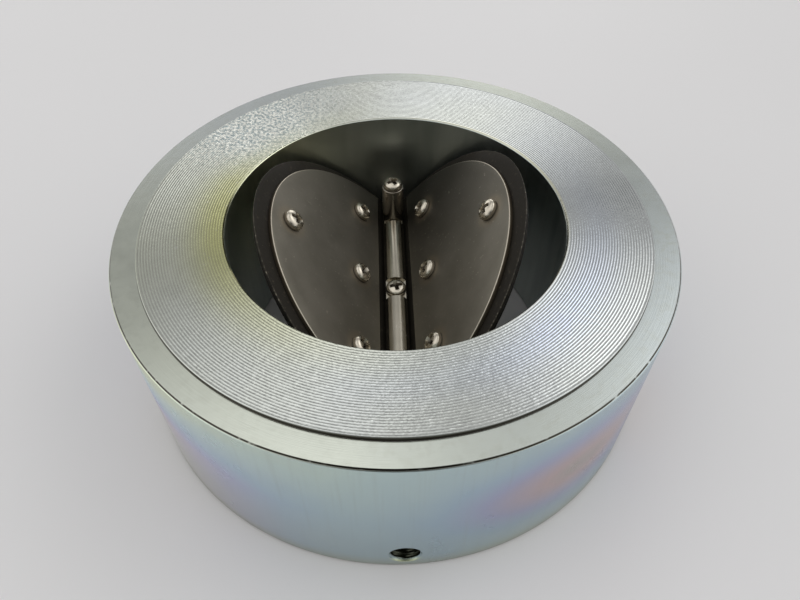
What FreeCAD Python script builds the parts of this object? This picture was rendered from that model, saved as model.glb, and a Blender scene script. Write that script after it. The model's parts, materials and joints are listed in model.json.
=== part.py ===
import FreeCAD, Part
import math
import os
import re
import Sketcher

# Wafer check valve for a 4 inch line: a plain ring that is clamped between two pipe flanges,
# with two rubber-faced steel flaps that hinge on one clamped strip across the bore.
# Millimetres. The origin is the centre of the lower face, +Z runs along the bore in the
# direction of flow, and +Y runs along the clamp rod.

DIMENSIONS = {
    # ring
    "BodyRadius": 86.5, "BodyHeight": 60.0, "BoreRadius": 52.75,
    "FaceRadius": 78.6, "FaceStep": 1.2, "BodyChamfer": 0.6, "BoreChamfer": 0.3,
    # crossbar under the rubber, held by a dog-point set screw at each end
    "CrossbarWidth": 10.0, "CrossbarLength": 104.4, "CrossbarBase": 1.0, "CrossbarTop": 16.5,
    "SideHoleHeight": 8.0, "SideHoleRadius": 4.5, "DogRadius": 3.5, "DogLength": 5.0,
    "DogClearance": 0.05, "SetScrewLength": 16.0, "SetScrewClearance": 0.03,
    "SocketWidth": 5.0, "SocketDepth": 6.0,
    # clamp rod, which is also the core that the rubber bends around
    "RodRadius": 4.0, "RodHeight": 23.0, "RodLength": 104.0, "RodChamfer": 0.6,
    "FlatDepth": 2.0, "FlatLength": 8.6, "RodScrewSpacing": 38.5, "ScrewHole": 2.2,
    # stop sleeve, which stands on the rod's rear flat
    "SleeveRadius": 4.0, "SleeveHeight": 15.0,
    # M4 screws, nuts and spring washers
    "ScrewRadius": 2.0, "TappedRadius": 2.03, "HeadRadius": 3.5, "HeadHeight": 2.6,
    "HeadRim": 0.8, "RecessSpan": 3.8, "RecessWidth": 0.9, "RecessDepth": 1.4,
    "FlapScrewLength": 12.0, "StopScrewLength": 32.0, "ClampScrewLength": 16.0,
    "TappedDepth": 10.0, "NutWidth": 7.0, "NutHeight": 3.2,
    "WasherRadius": 3.8, "WasherHole": 2.1, "WasherHeight": 0.9,
    # flaps, each in its own frame: X outward from the rod's axis, Z up from the plate
    "ClosedAngle": 36.0, "LeftRestAngle": 50.2, "RightRestAngle": 55.0,
    "WrapClearance": 0.05, "RubberThickness": 2.5, "LeafHalfWidth": 51.8, "BoreClearance": 0.5,
    "StripHalfAngle": 34.0, "StripHole": 2.1,
    "TopPlateThickness": 1.5, "BackPlateThickness": 1.5,
    "PlateStart": 6.0, "PlateCentre": -2.5, "PlateMajor": 58.4, "PlateMinor": 49.2,
    "InnerScrewReach": 16.0, "OuterScrewReach": 47.6, "InnerScrewSpacing": 31.5,
}

doc = FreeCAD.newDocument("wafer_check_valve")
sheet = doc.addObject("Spreadsheet::Sheet", "Sizes")
for row, (alias, number) in enumerate(DIMENSIONS.items(), start=1):
    sheet.set(f"A{row}", alias)
    sheet.set(f"B{row}", str(number))
    sheet.setAlias(f"B{row}", alias)
doc.recompute()

parts = []


def size(alias):
    """One driving dimension, as a plain number."""
    return float(sheet.get(alias))


def cell(expression):
    """The same expression with each alias, a word with a capital, read from the sheet."""
    return re.sub(r"[A-Z]\w+", lambda alias: f"Sizes.{alias.group()}", expression)


def number_of(expression):
    return float(sheet.evalExpression(cell(expression)))


def bind(thing, **bindings):
    for name, expression in bindings.items():
        thing.setExpression(name.replace("__", "."), cell(expression))
    return thing


def keep(thing, label, placement=None):
    """Name a finished sub-part and put it in its place."""
    thing.Label = label
    if placement is not None:
        thing.Placement = placement
    parts.append(thing)
    return thing


# ---- PartDesign helpers ----

def new_body(name):
    return doc.addObject("PartDesign::Body", name)


def new_sketch(body, name, role, offset=None):
    """A sketch on one of the body's own origin planes, raised along its normal by offset."""
    sketch = body.newObject("Sketcher::SketchObject", name)
    plane = next(item for item in body.Origin.OriginFeatures if item.Role == role)
    sketch.AttachmentSupport = (plane, [""])
    sketch.MapMode = "FlatFace"
    if offset is not None:
        bind(sketch, AttachmentOffset__Base__z=offset)
    return sketch


def pin_point(sketch, shape, point, across, up):
    """Hold one point of a sketch at two expressions; 0 puts it on the axis."""
    for kind, expression, axis in (("DistanceX", across, -2), ("DistanceY", up, -1)):
        if expression == "0":
            sketch.addConstraint(Sketcher.Constraint("PointOnObject", shape, point, axis))
        else:
            rule = Sketcher.Constraint(kind, -1, 1, shape, point, number_of(expression))
            index = sketch.addConstraint(rule)
            sketch.setExpression(f"Constraints[{index}]", cell(expression))


def add_outline(sketch, corners):
    """A closed outline with straight sides through corners, each a pair of expressions."""
    points = [FreeCAD.Vector(number_of(across), number_of(up), 0) for across, up in corners]
    following = points[1:] + points[:1]
    lines = [sketch.addGeometry(Part.LineSegment(a, b)) for a, b in zip(points, following)]
    for index, (across, up) in enumerate(corners):
        rule = Sketcher.Constraint("Coincident", lines[index - 1], 2, lines[index], 1)
        sketch.addConstraint(rule)
        pin_point(sketch, lines[index], 1, across, up)


def add_circle(sketch, across, up, radius):
    centre = FreeCAD.Vector(number_of(across), number_of(up), 0)
    ring = Part.Circle(centre, FreeCAD.Vector(0, 0, 1), number_of(radius))
    shape = sketch.addGeometry(ring)
    pin_point(sketch, shape, 3, across, up)
    index = sketch.addConstraint(Sketcher.Constraint("Radius", shape, number_of(radius)))
    sketch.setExpression(f"Constraints[{index}]", cell(radius))


def rectangle(left, right, low, high):
    return [(left, low), (right, low), (right, high), (left, high)]


def revolve(body, sketch, axis):
    feature = body.newObject("PartDesign::Revolution", f"{body.Name}_turned")
    feature.Profile = sketch
    feature.ReferenceAxis = (sketch, [axis])
    feature.Angle = 360
    sketch.Visibility = False
    return feature


def pad(body, sketch, length, both_ways=False):
    feature = body.newObject("PartDesign::Pad", f"{sketch.Name}_pad")
    feature.Profile = sketch
    bind(feature, Length=length)
    if both_ways:
        feature.SideType = "Symmetric"
    return feature


def pocket(body, sketch, depth, both_ways=False, upward=False):
    """Cut the sketch into the body, and stop if it cuts nothing."""
    doc.recompute()
    before = body.Shape.Volume
    feature = body.newObject("PartDesign::Pocket", f"{sketch.Name}_pocket")
    feature.Profile = sketch
    bind(feature, Length=depth)
    if both_ways:
        feature.SideType = "Symmetric"
    feature.Reversed = upward
    doc.recompute()
    if body.Shape.Volume >= before - 1e-6:
        raise RuntimeError(f"{feature.Name} cuts nothing")
    return feature


# ---- Part helpers ----

def cylinder(name, radius, height, at=(0, 0, 0), direction=(0, 0, 1)):
    shape = doc.addObject("Part::Cylinder", name)
    bind(shape, Radius=radius, Height=height)
    turn = FreeCAD.Rotation(FreeCAD.Vector(0, 0, 1), FreeCAD.Vector(*direction))
    shape.Placement = FreeCAD.Placement(FreeCAD.Vector(*at), turn)
    return shape


def box(name, length, width, height, at):
    shape = doc.addObject("Part::Box", name)
    bind(shape, Length=length, Width=width, Height=height)
    shape.Placement.Base = FreeCAD.Vector(*at)
    return shape


def combine(kind, name, *shapes):
    """Part::Cut and Part::Common of two shapes, or Part::MultiFuse and Part::Compound of many."""
    result = doc.addObject(f"Part::{kind}", name)
    if kind in ("Cut", "Common"):
        result.Base, result.Tool = shapes
    elif kind == "MultiFuse":
        result.Shapes = list(shapes)
    else:
        result.Links = list(shapes)
    return result


# ---- places ----

ROD_CENTRE = FreeCAD.Vector(0, 0, size("RodHeight"))
FLAT_LEVEL = size("RodHeight") + size("RodRadius") - size("FlatDepth")
ROD_SCREW_PLACES = ("0 - RodScrewSpacing", "0", "RodScrewSpacing")
FLAPS = {"left": (180, size("LeftRestAngle")), "right": (0, size("RightRestAngle"))}


def flap_frame(side):
    """A flap's own frame: X outward along the flap, Y along the rod, Z up from its plate."""
    heading, angle = FLAPS[side]
    turn = FreeCAD.Rotation(FreeCAD.Vector(0, 0, 1), heading)
    tilt = FreeCAD.Rotation(FreeCAD.Vector(0, 1, 0), -angle)
    return FreeCAD.Placement(ROD_CENTRE, turn.multiply(tilt))


def screw_places():
    """X and Y of a flap's four screws in its own frame: three by the hinge, one by the tip."""
    inner, outer = size("InnerScrewReach"), size("OuterScrewReach")
    spacing = size("InnerScrewSpacing")
    return [(inner, -spacing), (inner, 0), (inner, spacing), (outer, 0)]


# ---- ring, crossbar and clamp rod ----

def make_valve_body():
    body = new_body("valve_body")
    profile = new_sketch(body, "body_profile", "XZ_Plane")
    shoulder = "BodyHeight - FaceStep"
    add_outline(profile, [
        ("BoreRadius + BoreChamfer", "0"),
        ("BodyRadius - BodyChamfer", "0"),
        ("BodyRadius", "BodyChamfer"),
        ("BodyRadius", f"{shoulder} - BodyChamfer"),
        ("BodyRadius - BodyChamfer", shoulder),
        ("FaceRadius", shoulder),
        ("FaceRadius", "BodyHeight"),
        ("BoreRadius + BoreChamfer", "BodyHeight"),
        ("BoreRadius", "BodyHeight - BoreChamfer"),
        ("BoreRadius", "BoreChamfer"),
    ])
    revolve(body, profile, "V_Axis")
    side_holes = new_sketch(body, "side_holes", "XZ_Plane")
    add_circle(side_holes, "0", "SideHoleHeight", "SideHoleRadius")
    pocket(body, side_holes, "2 * BodyRadius + 2", both_ways=True)
    keep(body, "valve_body")


def make_crossbar():
    body = new_body("crossbar")
    section = new_sketch(body, "crossbar_section", "XZ_Plane")
    half = "CrossbarWidth / 2"
    add_outline(section, rectangle(f"0 - {half}", half, "CrossbarBase", "CrossbarTop"))
    pad(body, section, "CrossbarLength", both_ways=True)
    tapped = new_sketch(body, "crossbar_tapped_holes", "XY_Plane", "CrossbarTop")
    for place in ROD_SCREW_PLACES:
        add_circle(tapped, "0", place, "TappedRadius")
    pocket(body, tapped, "TappedDepth")
    dog = new_sketch(body, "crossbar_dog_hole", "XZ_Plane", "CrossbarLength / 2")
    add_circle(dog, "0", "SideHoleHeight", "DogRadius + DogClearance")
    one_end = pocket(body, dog, "DogLength + 1")
    both_ends = body.newObject("PartDesign::Mirrored", "crossbar_both_ends")
    both_ends.Originals = [one_end]
    plane = next(item for item in body.Origin.OriginFeatures if item.Role == "XZ_Plane")
    both_ends.MirrorPlane = (plane, [""])
    body.Tip = both_ends
    keep(body, "crossbar")


def make_clamp_rod():
    body = new_body("clamp_rod")
    profile = new_sketch(body, "rod_profile", "YZ_Plane")
    half = "RodLength / 2"
    add_outline(profile, [
        (f"0 - {half}", "0"),
        (half, "0"),
        (half, "RodRadius - RodChamfer"),
        (f"{half} - RodChamfer", "RodRadius"),
        (f"0 - {half} + RodChamfer", "RodRadius"),
        (f"0 - {half}", "RodRadius - RodChamfer"),
    ])
    revolve(body, profile, "H_Axis")
    flats = new_sketch(body, "rod_flats", "XY_Plane", "RodRadius - FlatDepth")
    holes = new_sketch(body, "rod_holes", "XY_Plane")
    for place in ROD_SCREW_PLACES:
        low, high = f"{place} - FlatLength / 2", f"{place} + FlatLength / 2"
        add_outline(flats, rectangle("0 - RodRadius - 1", "RodRadius + 1", low, high))
        add_circle(holes, "0", place, "ScrewHole")
    pocket(body, flats, "FlatDepth + 1", upward=True)
    pocket(body, holes, "2 * RodRadius + 2", both_ways=True)
    keep(body, "clamp_rod", FreeCAD.Placement(ROD_CENTRE, FreeCAD.Rotation()))


def make_stop_sleeve():
    body = new_body("rear_stop_sleeve")
    section = new_sketch(body, "sleeve_section", "XY_Plane")
    add_circle(section, "0", "0", "SleeveRadius")
    add_circle(section, "0", "0", "ScrewHole")
    pad(body, section, "SleeveHeight")
    foot = FreeCAD.Vector(0, size("RodScrewSpacing"), FLAT_LEVEL)
    keep(body, "rear_stop_sleeve", FreeCAD.Placement(foot, FreeCAD.Rotation()))


def make_set_screw(end, heading):
    """Dog-point set screw along Y, with a hexagon socket in its outer end."""
    body = new_body(f"{end}_set_screw")
    profile = new_sketch(body, f"{end}_set_screw_profile", "YZ_Plane")
    thread, near = "SideHoleRadius - SetScrewClearance", "BoreRadius + 0.3"
    far = f"{near} + SetScrewLength"
    add_outline(profile, [
        (f"{near} - DogLength", "0"),
        (far, "0"),
        (far, f"{thread} - 0.5"),
        (f"{far} - 0.5", thread),
        (f"{near} + 0.5", thread),
        (near, "DogRadius"),
        (f"{near} - DogLength", "DogRadius"),
    ])
    revolve(body, profile, "H_Axis")
    socket = new_sketch(body, f"{end}_socket", "XZ_Plane", f"0 - {near} - SetScrewLength")
    add_hexagon(socket, "SocketWidth")
    pocket(body, socket, "SocketDepth", upward=True)
    centre = FreeCAD.Vector(0, 0, size("SideHoleHeight"))
    turn = FreeCAD.Rotation(FreeCAD.Vector(0, 0, 1), heading)
    keep(body, f"{end}_set_screw", FreeCAD.Placement(centre, turn))


def add_hexagon(sketch, width):
    """A regular hexagon about the origin, its corners along X, from its width across flats."""
    corner, half_side = f"{width} / sqrt(3)", f"{width} / sqrt(3) / 2"
    half = f"{width} / 2"
    add_outline(sketch, [
        (corner, "0"), (half_side, half), (f"0 - {half_side}", half),
        (f"0 - {corner}", "0"), (f"0 - {half_side}", f"0 - {half}"), (half_side, f"0 - {half}"),
    ])


# ---- fasteners ----

def make_screw(name, length, at):
    """M4 pan head screw with a cross recess, its head seated on the plane at height 0."""
    shank = cylinder(f"{name}_shank", "ScrewRadius", length)
    bind(shank, Placement__Base__z=f"0 - {length}")
    drum = cylinder(f"{name}_drum", "HeadRadius", "HeadHeight")
    dome = doc.addObject("Part::Sphere", f"{name}_dome")
    crown = "(HeadHeight - HeadRim)"
    dome_radius = f"(HeadRadius ^ 2 + {crown} ^ 2) / (2 * {crown})"
    bind(dome, Radius=dome_radius, Placement__Base__z=f"HeadHeight - {dome_radius}")
    head = combine("Common", f"{name}_head", drum, dome)
    solid = combine("MultiFuse", f"{name}_solid", shank, head)
    slots = []
    for index, (span, width) in enumerate((("RecessSpan", "RecessWidth"),
                                           ("RecessWidth", "RecessSpan"))):
        slot = box(f"{name}_slot_{index}", span, width, "RecessDepth + 1", (0, 0, 0))
        bind(slot, Placement__Base__x=f"0 - {span} / 2", Placement__Base__y=f"0 - {width} / 2",
             Placement__Base__z="HeadHeight - RecessDepth")
        slots.append(slot)
    recess = combine("MultiFuse", f"{name}_recess", *slots)
    screw = combine("Cut", name, solid, recess)
    screw.Placement.Base = FreeCAD.Vector(*at)
    return screw


def make_nut(name, at):
    body = new_body(name)
    section = new_sketch(body, f"{name}_section", "XY_Plane")
    add_hexagon(section, "NutWidth")
    add_circle(section, "0", "0", "TappedRadius")
    pad(body, section, "NutHeight")
    body.Placement.Base = FreeCAD.Vector(*at)
    return body


def make_washer(name, at):
    rim = cylinder(f"{name}_rim", "WasherRadius", "WasherHeight")
    hole = cylinder(f"{name}_hole", "WasherHole", "WasherHeight")
    washer = combine("Cut", name, rim, hole)
    washer.Placement.Base = FreeCAD.Vector(*at)
    return washer


# ---- rubber and flaps ----

INNER_FACE = size("RodRadius") + size("WrapClearance")
BACK_OF_RUBBER = INNER_FACE + size("RubberThickness")
PLATE_TOP = INNER_FACE - size("TopPlateThickness")
PLATE_BACK = BACK_OF_RUBBER + size("BackPlateThickness")


def rubber_arc(name, inner, outer, first, last, half_width):
    """A piece of the strip that lies round the rod, between two angles from straight down."""
    solid = cylinder(f"{name}_outer", outer, half_width + " * 2")
    solid.Angle = last - first
    core = cylinder(f"{name}_inner", inner, half_width + " * 2")
    arc = combine("Cut", name, solid, core)
    # The cylinder's axis turns from Z to -Y, so that its angle starts at +X and runs upwards.
    upright = FreeCAD.Rotation(FreeCAD.Vector(1, 0, 0), 90)
    about_rod = FreeCAD.Rotation(FreeCAD.Vector(0, 1, 0), 90 - first)
    start = ROD_CENTRE + FreeCAD.Vector(0, number_of(half_width), 0)
    arc.Placement = FreeCAD.Placement(start, about_rod.multiply(upright))
    return arc


def make_clamped_strip():
    reach = size("StripHalfAngle")
    arc = rubber_arc("strip_arc", "RodRadius", "RodRadius + RubberThickness",
                     -reach, reach, "LeafHalfWidth")
    holes = [cylinder(f"strip_hole_{index}", "StripHole", "RodHeight", (0, number_of(place), 0))
             for index, place in enumerate(ROD_SCREW_PLACES)]
    keep(combine("Cut", "rubber_clamped_strip", arc, combine("MultiFuse", "strip_holes", *holes)),
         "rubber_clamped_strip")


def make_rubber_hinge(side):
    heading, angle = FLAPS[side]
    arc = rubber_arc(f"{side}_rubber_hinge", "RodRadius + WrapClearance",
                     "RodRadius + WrapClearance + RubberThickness",
                     size("StripHalfAngle"), angle, "LeafHalfWidth")
    if heading:
        turn = FreeCAD.Rotation(FreeCAD.Vector(0, 0, 1), heading)
        arc.Placement = FreeCAD.Placement(FreeCAD.Vector(), turn).multiply(arc.Placement)
    keep(arc, f"{side}_rubber_hinge")


def drilled(side, piece, blank, back, thickness):
    """A flap's sheet with the holes for its screws, in its place."""
    name = f"{side}_{piece}"
    holes = [cylinder(f"{name}_hole_{index}", "ScrewHole", f"{thickness} + 2", (*place, -back - 1))
             for index, place in enumerate(screw_places())]
    keep(combine("Cut", name, blank, combine("MultiFuse", f"{name}_holes", *holes)), name,
         flap_frame(side))


def make_plate(side, piece, back, thickness):
    """A half-ellipse plate, cut straight by the hinge."""
    name = f"{side}_{piece}"
    curve = doc.addObject("Part::Ellipse", f"{name}_curve")
    bind(curve, MajorRadius="PlateMajor", MinorRadius="PlateMinor",
         Placement__Base__x="PlateCentre")
    curve.Placement.Base.z = -back
    slab = doc.addObject("Part::Extrusion", f"{name}_slab")
    slab.Base = curve
    slab.DirMode = "Custom"
    slab.Dir = FreeCAD.Vector(0, 0, 1)
    slab.Solid = True
    bind(slab, LengthFwd=thickness)
    window = box(f"{name}_window", "PlateMajor", "2 * PlateMinor", thickness, (0, 0, -back))
    bind(window, Placement__Base__x="PlateStart", Placement__Base__y="0 - PlateMinor")
    drilled(side, piece, combine("Common", f"{name}_blank", slab, window), back, thickness)


def make_leaf(side):
    """The flap's rubber. Its edge is cut to lie along the bore's wall when the flap is closed."""
    slab = box(f"{side}_leaf_slab", "BodyRadius", "2 * LeafHalfWidth", "RubberThickness",
               (0, 0, -BACK_OF_RUBBER))
    bind(slab, Placement__Base__y="0 - LeafHalfWidth")
    closed = math.radians(size("ClosedAngle"))
    along = FreeCAD.Vector(math.sin(closed), 0, math.cos(closed))
    wall = cylinder(f"{side}_leaf_edge", "BoreRadius - BoreClearance", "2 * BodyRadius",
                    along * -size("BodyRadius"), along)
    drilled(side, "rubber_leaf", combine("Common", f"{side}_leaf_blank", slab, wall),
            BACK_OF_RUBBER, "RubberThickness")


def make_flap(side):
    make_rubber_hinge(side)
    make_leaf(side)
    make_plate(side, "top_plate", INNER_FACE, "TopPlateThickness")
    make_plate(side, "backing_plate", PLATE_BACK, "BackPlateThickness")
    screws, washers, nuts = [], [], []
    for index, place in enumerate(screw_places()):
        number = f"{side}_{index}"
        screws.append(make_screw(f"flap_screw_{number}", "FlapScrewLength", (*place, -PLATE_TOP)))
        level = -PLATE_BACK - size("WasherHeight")
        washers.append(make_washer(f"lock_washer_{number}", (*place, level)))
        nuts.append(make_nut(f"flap_nut_{number}", (*place, level - size("NutHeight"))))
    for group, pieces in (("screws", screws), ("lock_washers", washers), ("nuts", nuts)):
        keep(combine("Compound", f"{side}_{group}", *pieces), f"{side}_flap_{group}",
             flap_frame(side))


def check_and_export():
    doc.recompute()
    for thing in doc.Objects:
        if "Invalid" in thing.State or "Error" in thing.State:
            raise RuntimeError(f"{thing.Name} failed: {thing.State}")
    os.makedirs("parts", exist_ok=True)
    for part in parts:
        if part.Shape.isNull() or not part.Shape.isValid() or not part.Shape.Solids:
            raise RuntimeError(f"{part.Label} has no valid solid")
    for part in parts:
        part.Shape.exportStep(f"parts/{part.Label}.step")
        limits = part.Shape.BoundBox
        print(f"{part.Label}: {len(part.Shape.Solids)} solid(s), {part.Shape.Volume:.0f} mm3, "
              f"z {limits.ZMin:.2f} to {limits.ZMax:.2f}")


make_valve_body()
make_crossbar()
make_clamp_rod()
make_clamped_strip()
make_stop_sleeve()
stop_seat = (0, size("RodScrewSpacing"), FLAT_LEVEL + size("SleeveHeight"))
keep(make_screw("rear_stop_screw", "StopScrewLength", stop_seat), "rear_stop_screw")
for screw_end, screw_y in (("centre", 0), ("front", -size("RodScrewSpacing"))):
    keep(make_screw(f"{screw_end}_clamp_screw", "ClampScrewLength", (0, screw_y, FLAT_LEVEL)),
         f"{screw_end}_clamp_screw")
make_set_screw("rear", 0)
make_set_screw("front", 180)
for flap_side in FLAPS:
    make_flap(flap_side)
check_and_export()
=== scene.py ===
import json
import math

import bpy
from mathutils import Matrix, Vector


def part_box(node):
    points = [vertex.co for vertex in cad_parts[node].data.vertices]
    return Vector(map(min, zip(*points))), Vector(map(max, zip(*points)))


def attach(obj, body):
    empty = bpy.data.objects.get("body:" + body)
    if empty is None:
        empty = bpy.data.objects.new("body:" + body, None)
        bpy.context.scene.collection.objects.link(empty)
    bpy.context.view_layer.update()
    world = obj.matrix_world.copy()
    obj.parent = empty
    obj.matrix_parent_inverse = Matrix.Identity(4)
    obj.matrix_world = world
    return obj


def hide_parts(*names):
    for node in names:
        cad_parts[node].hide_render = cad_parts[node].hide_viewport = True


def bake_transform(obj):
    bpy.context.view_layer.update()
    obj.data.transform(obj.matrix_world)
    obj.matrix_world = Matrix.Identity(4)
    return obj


# The looks of the wafer check valve. Shapes are worked out in millimetres and the objects are in
# metres, in the CAD model's frame: +Z is the direction of flow, +Y runs along the clamp rod to the
# rear, and +X is towards the right flap.

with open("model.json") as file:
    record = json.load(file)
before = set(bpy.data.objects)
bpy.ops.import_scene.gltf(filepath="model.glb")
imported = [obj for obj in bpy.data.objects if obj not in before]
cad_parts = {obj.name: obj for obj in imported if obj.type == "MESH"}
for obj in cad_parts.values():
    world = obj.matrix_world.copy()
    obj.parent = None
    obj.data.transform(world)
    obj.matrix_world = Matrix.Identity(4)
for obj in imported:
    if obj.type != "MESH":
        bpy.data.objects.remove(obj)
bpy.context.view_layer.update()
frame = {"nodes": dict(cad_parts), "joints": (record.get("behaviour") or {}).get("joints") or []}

MM = 0.001
joints = {joint["name"]: joint for joint in frame["joints"]}


def box_mm(node):
    low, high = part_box(node)
    return low / MM, high / MM


# ---- sizes: the ring ----
ring_low, ring_high = box_mm("valve_body")
RING_RADIUS, RING_HEIGHT = ring_high.x, ring_high.z
BORE_RADIUS, FACE_RADIUS, FACE_STEP = 52.75, 78.6, 1.2
SHOULDER = RING_HEIGHT - FACE_STEP
RING_CHAMFER, BORE_CHAMFER, FACE_CHAMFER = 0.6, 0.5, 0.15
RING_SEGMENTS = 400
# the face's turned grooves: the tool's nose radius, and the radius of the outermost crest
GROOVE_PITCH, GROOVE_NOSE, GROOVE_START = 0.8, 1.25, FACE_RADIUS - 0.3
SIDE_HOLE_HEIGHT, SIDE_HOLE_RADIUS = 8.0, 4.5
SIDE_THREAD_OUT, SIDE_THREAD_DEPTH, SIDE_THREAD_PITCH = 0.28, 0.62, 1.5

# ---- sizes: the rod and what stands on it ----
ROD_HEIGHT = joints["left_flap_hinge"]["pos_m"][2] / MM
_, rod_high = box_mm("clamp_rod")
ROD_RADIUS, ROD_HALF, ROD_CHAMFER = rod_high.x, rod_high.y, 0.6
FLAT_DEPTH, FLAT_HALF, SCREW_SPACING, ROD_HOLE_RADIUS = 2.0, 4.3, 38.5, 2.2
FLAT_LEVEL = ROD_HEIGHT + ROD_RADIUS - FLAT_DEPTH
sleeve_low, sleeve_high = box_mm("rear_stop_sleeve")
bar_low, bar_high = box_mm("crossbar")

# ---- sizes: the flaps ----
CLOSED_ANGLE = 36.0
REST_ANGLE = {side: CLOSED_ANGLE - joints[f"{side}_flap_hinge"]["range_deg"][0]
              for side in ("left", "right")}
# the flap's own frame: X outward along the flap, Y along the rod, Z up from its plate
RUBBER_TOP, RUBBER_BACK = -4.05, -6.55
PLATE_TOP, PLATE_BACK = -2.55, -8.05
WASHER_BACK, NUT_BACK = -8.95, -12.15
PLATE_START, PLATE_CENTRE, PLATE_MAJOR, PLATE_MINOR = 6.0, -2.5, 58.4, 49.2
EDGE_SLANT = math.tan(math.radians(CLOSED_ANGLE))
LEAF_MINOR, LEAF_HALF = 52.25, 51.8
LEAF_MAJOR = LEAF_MINOR / math.cos(math.radians(CLOSED_ANGLE))
LEAF_CENTRE = RUBBER_TOP * EDGE_SLANT
# the rubber's middle layer round the rod; the degrees that the clamped strip reaches each side
# of straight down, and by which the flap's rubber goes in under it
WRAP_RADIUS, STRIP_REACH, STRIP_OVERLAP = 5.3, 9.0, 1.0
SCREWS = [(16.0, -31.5), (16.0, 0.0), (16.0, 31.5), (47.6, 0.0)]

# ---- sizes: M4 screws, nuts and spring washers ----
SCREW_RADIUS, SCREW_THREAD_DEPTH, SCREW_PITCH = 1.97, 0.36, 0.7
HEAD_RADIUS, HEAD_HEIGHT, HEAD_RIM = 3.5, 2.6, 0.95
HEAD_FULLNESS = 0.62
NUT_WIDTH, NUT_HEIGHT = 7.0, 3.2
WASHER_INNER, WASHER_OUTER, WASHER_HEIGHT, WASHER_GAP = 2.15, 3.7, 0.88, 9
FLAP_SCREW_LENGTH, SLEEVE_SCREW_LENGTH, ROD_SCREW_LENGTH = 12.0, 32.0, 16.0
# how steep a thread's flanks are, where 1 has no flats, and how much of its depth its ends lose
THREAD_SLOPE, THREAD_TAPER = 1.5, 0.9
# how far each head is turned, in degrees
SCREW_TURNS = {"left": (20, 50, 75, 10), "right": (35, 5, 60, 80),
               "rear": 30, "centre": 12, "front": 55}


def flap_frame(side):
    """The flap's frame at rest, in millimetres."""
    turn = Matrix.Rotation(math.pi, 4, "Z") if side == "left" else Matrix.Identity(4)
    tilt = Matrix.Rotation(-math.radians(REST_ANGLE[side]), 4, "Y")
    return Matrix.Translation((0, 0, ROD_HEIGHT)) @ turn @ tilt


# ---- mesh tools: a shape is a pair of lists, points in millimetres and faces ----

def joined(*shapes):
    points, faces = [], []
    for shape_points, shape_faces in shapes:
        start = len(points)
        points += [Vector(p) for p in shape_points]
        faces += [[start + i for i in face] for face in shape_faces]
    return points, faces


def moved(shape, matrix):
    return [matrix @ Vector(p) for p in shape[0]], shape[1]


def at(x, y, z, turn=0.0):
    return Matrix.Translation((x, y, z)) @ Matrix.Rotation(math.radians(turn), 4, "Z")


LAID_ALONG_Y = Matrix.Rotation(math.radians(-90), 4, "X")


def lathe(profile, segments, closed=True):
    """The profile, points (radius, height), turned about Z. A radius of 0 makes a pole."""
    points, rows = [], []
    for radius, height in profile:
        if radius < 1e-6:
            rows.append([len(points)] * segments)
            points.append((0, 0, height))
            continue
        rows.append(list(range(len(points), len(points) + segments)))
        for k in range(segments):
            a = 2 * math.pi * k / segments
            points.append((radius * math.cos(a), radius * math.sin(a), height))
    faces = []
    pairs = list(zip(rows, rows[1:] + (rows[:1] if closed else [])))
    for low, high in pairs:
        for k in range(segments):
            n = (k + 1) % segments
            face = [low[k], low[n], high[n], high[k]]
            face = [v for i, v in enumerate(face) if v != face[i - 1]]
            if len(set(face)) > 2:
                faces.append(face)
    return points, faces


def thread(radius, depth, pitch, low, high, segments, steps, ends):
    """A screw thread about Z, with steps rows of points in each turn. It tapers over the length
    ends at both of its capped ends."""
    rows = max(2, int((high - low) / pitch * steps))
    points = []
    for row in range(rows + 1):
        z = low + (high - low) * row / rows
        fade = min(1.0, (z - low) / ends, (high - z) / ends)
        for k in range(segments):
            phase = (z / pitch - k / segments) % 1
            ridge = 1 - abs(2 * phase - 1)
            crest = min(1.0, max(0.0, THREAD_SLOPE * ridge - (THREAD_SLOPE - 1) / 2))
            r = radius - depth * (1 - crest) - depth * THREAD_TAPER * (1 - max(0.0, fade))
            a = 2 * math.pi * k / segments
            points.append((r * math.cos(a), r * math.sin(a), z))
    faces = [[row * segments + k, row * segments + (k + 1) % segments,
              (row + 1) * segments + (k + 1) % segments, (row + 1) * segments + k]
             for row in range(rows) for k in range(segments)]
    faces.append(list(range(segments))[::-1])
    faces.append(list(range(rows * segments, (rows + 1) * segments)))
    return points, faces


def tapered(outline_low, low, outline_high, high):
    """A solid between two closed outlines of (x, y) points, at heights low and high."""
    n = len(outline_low)
    points = [(x, y, low) for x, y in outline_low] + [(x, y, high) for x, y in outline_high]
    faces = [[i, (i + 1) % n, n + (i + 1) % n, n + i] for i in range(n)]
    return points, faces + [list(range(n))[::-1], list(range(n, 2 * n))]


def prism(outline, low, high):
    return tapered(outline, low, outline, high)


def rectangle(x_low, y_low, x_high, y_high):
    return [(x_low, y_low), (x_high, y_low), (x_high, y_high), (x_low, y_high)]


def circle(radius, count):
    """An outline of count points, the first of them at +X."""
    return [(radius * math.cos(2 * math.pi * k / count), radius * math.sin(2 * math.pi * k / count))
            for k in range(count)]


def mesh_of(name, shape, scale=MM):
    mesh = bpy.data.meshes.new(name)
    mesh.from_pydata([tuple(Vector(p) * scale) for p in shape[0]], [], shape[1])
    mesh.validate()
    mesh.update()
    return mesh


def add_object(name, data):
    item = bpy.data.objects.new(name, data)
    bpy.context.scene.collection.objects.link(item)
    return item


def evaluated(*made):
    """The first object's shape after its modifiers. All the objects given are removed."""
    bpy.context.view_layer.update()
    final = made[0].evaluated_get(bpy.context.evaluated_depsgraph_get())
    mesh = final.to_mesh()
    result = [v.co.copy() for v in mesh.vertices], [list(f.vertices) for f in mesh.polygons]
    final.to_mesh_clear()
    for item in made:
        bpy.data.meshes.remove(item.data)
    return result


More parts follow.
